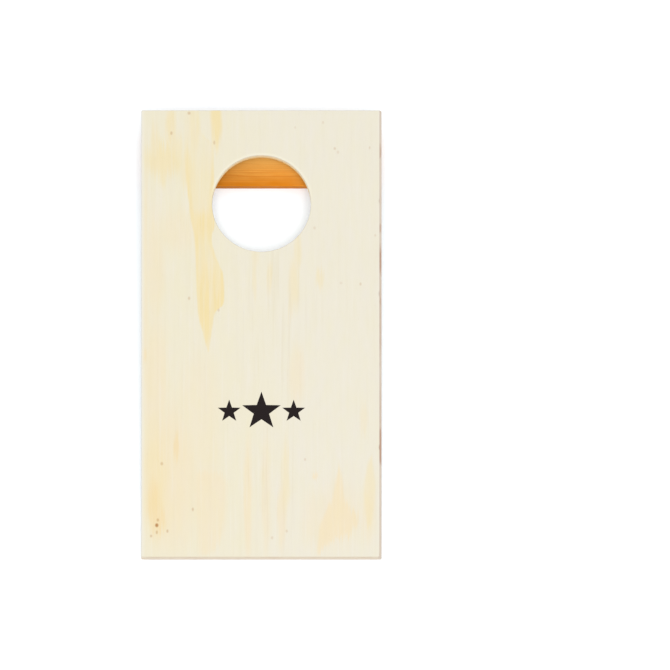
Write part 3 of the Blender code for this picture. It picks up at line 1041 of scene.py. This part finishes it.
def screwTree(headRadius, length):
    tree = bpy.data.node_groups.new("countersunk_screws", "GeometryNodeTree")
    bench = Bench(tree)
    sizes = {"Head radius": headRadius, "Length": length}
    for name in ("Core radius", "Thread depth", "Thread pitch", "Tip length", "Recess length",
                 "Recess width", "Recess depth"):
        first, second = name.split()
        sizes[name] = screwLook[first.lower() + second.title()]
    identifiers = {"Points": addInput(tree, "Points", "Geometry")}
    for name, value in sizes.items():
        identifiers[name] = addInput(tree, name, "Float", value)
    identifiers["Turn"] = addInput(tree, "Turn", "Rotation")
    identifiers["Finish"] = addInput(tree, "Finish", "Material")
    tree.interface.new_socket(name="Screws", in_out="OUTPUT", socket_type="NodeSocketGeometry")
    inputs = bench.node("NodeGroupInput").socket.node
    given = {socket.name: Wire(bench, socket) for socket in inputs.outputs if socket.name}

    # body: a turned line whose radius is a cone at the head, then the core, then the tip
    line = bench.node("GeometryNodeCurvePrimitiveLine", {"mode": "POINTS"},
                      {"Start": (0, 0, 0), "End": bench.join(0.0, 0.0, 0.0 - given["Length"])})
    line = bench.node("GeometryNodeResampleCurve", {"mode": "COUNT"},
                      {0: line, "Count": screwLook["linePoints"]})
    depth = 0.0 - bench.split(bench.node("GeometryNodeInputPosition"))[2]
    cone = given["Head radius"] - bench.maths("MAXIMUM", depth - screwLook["headLand"], 0.0)
    shank = bench.maths("MAXIMUM", cone, given["Core radius"])
    tip = given["Core radius"] * (given["Length"] - depth) / given["Tip length"] + screwLook["tipRadius"]
    radius = bench.maths("MINIMUM", shank, tip)
    circle, ridge = (bench.node("GeometryNodeCurvePrimitiveCircle", {"mode": "RADIUS"},
                                {"Resolution": sides, "Radius": 1.0}) for sides in (screwLook["sides"], 3))
    body = bench.node("GeometryNodeCurveToMesh", {},
                      {0: line, 1: circle, "Scale": radius, "Fill Caps": True})

    # thread: a three-sided ridge wound up the core
    threadHeight = given["Length"] - given["Head radius"] - given["Tip length"] * 0.4
    turns = threadHeight / given["Thread pitch"]
    spiral = bench.node("GeometryNodeCurveSpiral", {}, {
        "Resolution": screwLook["threadStepsPerTurn"],
        "Rotations": turns,
        "Start Radius": given["Core radius"] * 0.55,
        "End Radius": given["Core radius"],
        "Height": threadHeight,
    })
    spiral = bench.node("GeometryNodeTransform", {}, {
        0: spiral, "Translation": bench.join(0.0, 0.0, given["Tip length"] * 0.4 - given["Length"])})
    thread = bench.node("GeometryNodeCurveToMesh", {},
                        {0: spiral, 1: ridge, "Scale": given["Thread depth"], "Fill Caps": True})
    joined = {"operation": "UNION", "solver": "EXACT"}
    threaded = bench.node("GeometryNodeMeshBoolean", joined, {1: [body, thread]})

    # cross recess
    armLong, armWide = given["Recess length"], given["Recess width"]
    deep = given["Recess depth"] * 2
    arms = [bench.node("GeometryNodeMeshCube", {}, {"Size": bench.join(*arm, deep)})
            for arm in ((armLong, armWide), (armWide, armLong))]
    cut = {"operation": "DIFFERENCE", "solver": "EXACT"}
    recessed = bench.node("GeometryNodeMeshBoolean", cut, {0: threaded, 1: arms})

    placed = bench.node("GeometryNodeInstanceOnPoints", {},
                        {0: given["Points"], "Instance": recessed, "Rotation": given["Turn"]})
    real = bench.node("GeometryNodeRealizeInstances", {}, {0: placed})
    finished = bench.node("GeometryNodeSetMaterial", {}, {0: real, "Material": given["Finish"]})
    bench.node("NodeGroupOutput", {}, {0: finished})
    return tree, identifiers


def makeScrewSet(body, part, side, tree, identifiers, material):
    nodes = [hinge + "_" + part + "_screw_" + row for hinge in ("left_hinge", "right_hinge")
             for row in ("outer", "inner")]
    points = bpy.data.meshes.new("screw_places")
    places = []
    for node in nodes:
        low, high = boardBox(node)
        middle = (low + high) / 2
        places.append((middle.x, middle.y, low.z if side > 0 else high.z))
    points.from_pydata(places, [], [])
    holder = newObject("screw_places", points)
    modifier = holder.modifiers.new("screws", "NODES")
    modifier.node_group = tree
    modifier[identifiers["Turn"]] = (math.pi if side > 0 else 0.0, 0.0, 0.0)
    modifier[identifiers["Finish"]] = material
    mesh = evaluatedMesh(holder)
    holder.modifiers.remove(modifier)
    bpy.data.objects.remove(holder)
    addPiece(part + "_screws", smoothed(mesh, 30), None, body, nodes)


def makeHardware():
    leafBrass = makeBrass("brushed_brass", (9, 0.25, 0.25))
    pinBrass = makeBrass("drawn_brass", (6, 0.4, 0.4))
    screwBrass = makeBrass("screw_brass", (0.6, 0.6, 0.6))
    for hinge in ("left_hinge", "right_hinge"):
        makeLeaf(hinge, "deck", 1, 1, "deck", leafBrass)
        makeLeaf(hinge, "leg", -1, 0, "leg", leafBrass)
        makePin(hinge, pinBrass)
    low, high = boardBox("left_hinge_deck_screw_outer")
    tree, identifiers = screwTree((high.x - low.x) / 2, high.z - low.z)
    makeScrewSet("deck", "deck", 1, tree, identifiers, screwBrass)
    makeScrewSet("leg", "leg", -1, tree, identifiers, screwBrass)


makeHardware()
print("hinges and screws made")


# Studio

studioLook = {
    "floorSize": 6.0,
    "floorShade": (0.76, 0.80, 0.84),
    "floorGlow": 0.19,
    "skyStrength": 1.0,
    "keyPower": 84.0,
    "keySize": 2.4,
    "keyPlace": (0.2, -1.3, 4.0),
    "viewTilt": 12.5,  # degrees off the play face's own normal, towards the front
    "viewWidth": 0.530,
    "viewOffset": (58.2 * mm, -1.1 * mm),  # from the deck's middle to the middle of the view
    "viewDistance": 1.6,
    "floorDrop": 0.05 * mm,  # keeps the floor from flickering against the feet
}


def makeFloor():
    material, bench = newMaterial("white_floor")
    place = bench.node("ShaderNodeTexCoord", out=3)
    level = 0.985 + bench.noise(place, (0.4, 0.4, 0.4), 2) * 0.03
    colour = bench.dimmed((*studioLook["floorShade"], 1.0), level)
    uniform = {
        "Emission Color": grey(1.0),
        "Emission Strength": studioLook["floorGlow"],
        "Specular IOR Level": 0.0,
    }
    finishMaterial(bench, colour, 0.9, uniform=uniform)
    half = studioLook["floorSize"] / 2
    mesh = bpy.data.meshes.new("floor")
    corners = [(-half, -half, 0), (half, -half, 0), (half, half, 0), (-half, half, 0)]
    mesh.from_pydata(corners, [], [(0, 1, 2, 3)])
    mesh.materials.append(material)
    floor = newObject("floor", mesh)
    floor.location.z = -studioLook["floorDrop"]


def makeLights():
    world = bpy.data.worlds.new("white_room")
    world.use_nodes = True
    background = world.node_tree.nodes["Background"]
    background.inputs["Color"].default_value = grey(1.0)
    background.inputs["Strength"].default_value = studioLook["skyStrength"]
    bpy.context.scene.world = world
    light = bpy.data.lights.new("key", "AREA")
    light.shape = "SQUARE"
    light.size = studioLook["keySize"]
    light.energy = studioLook["keyPower"]
    key = newObject("key", light)
    key.location = studioLook["keyPlace"]
    key.rotation_euler = (-key.location).to_track_quat("-Z", "Y").to_euler()


def makeCamera():
    camera = newObject("camera", bpy.data.cameras.new("camera"))
    camera.data.type = "ORTHO"
    camera.data.ortho_scale = studioLook["viewWidth"]
    camera.rotation_euler = (slope + math.radians(studioLook["viewTilt"]), 0, 0)
    turn = camera.rotation_euler.to_matrix()
    faceMiddle = boardToWorld @ Vector((0, 0, deckTop))
    offset = Vector((*studioLook["viewOffset"], studioLook["viewDistance"]))
    camera.location = faceMiddle + turn @ offset
    bpy.context.scene.camera = camera


makeFloor()
makeLights()
makeCamera()
bpy.context.scene.view_settings.view_transform = "Standard"
print("studio made")
